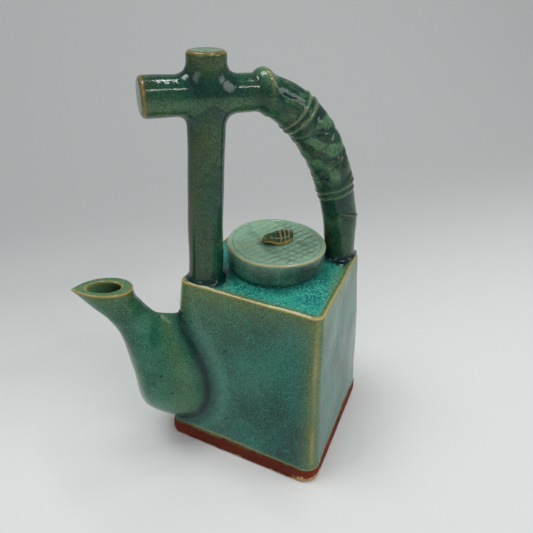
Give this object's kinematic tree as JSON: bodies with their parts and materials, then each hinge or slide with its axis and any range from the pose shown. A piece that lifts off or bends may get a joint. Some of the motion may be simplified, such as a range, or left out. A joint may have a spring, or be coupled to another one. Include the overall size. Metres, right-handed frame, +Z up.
{
  "type": "lidded sake ewer",
  "caption": "Slab-built ceramic sake ewer with a square tapering body, corner spout, lift-off round lid and an overhead log-and-bamboo handle in crackled green glaze.",
  "frame": {"origin": "centre of the flat base, at table level", "axes": "+Z up; -X towards the spout, through the corner that the spout leaves; +Y towards the far corner, across the handle"},
  "size_m": [0.158, 0.1172, 0.2005],
  "materials": {
    "wall_glaze": "glossy grey-green crackle glaze",
    "top_glaze": "glossy blue-green crackle glaze",
    "handle_glaze": "glossy olive-green crackle glaze",
    "lid_glaze": "glossy pale green crackle glaze over scored lines",
    "leaf_glaze": "thin golden-brown glaze on a raised leaf",
    "bare_clay": "bare red-brown fired clay"
  },
  "bodies": {
    "vessel": {"base_slab": "bare_clay", "wall_spout_left": "wall_glaze", "wall_back_left": "wall_glaze", "wall_back_right": "wall_glaze", "wall_spout_right": "wall_glaze", "top_slab": "top_glaze", "mouth_collar": "top_glaze", "spout": "wall_glaze", "spout_seam_coil": "wall_glaze", "floor_seam_coil": "bare_clay", "wall_seam_coils": "bare_clay", "handle_post": "handle_glaze", "handle_crossbar": "handle_glaze", "post_finial": "handle_glaze", "bamboo_arch": "handle_glaze", "arch_joint_ring": "handle_glaze", "arch_upper_rings": "handle_glaze", "arch_lower_rings": "handle_glaze", "arch_sheath_ridge": "handle_glaze", "post_foot_coil": "top_glaze", "arch_foot_coil": "top_glaze"},
    "lid": {"lid_drum": "lid_glaze", "lid_flange": "bare_clay", "knob_leaf": "leaf_glaze", "knob_bands": "leaf_glaze"}
  },
  "joints": [
    {"name": "lid_lift", "type": "slide", "parent": "vessel", "child": "lid", "axis": [0, 0, 1], "range_m": [0, 0.009]}
  ]
}
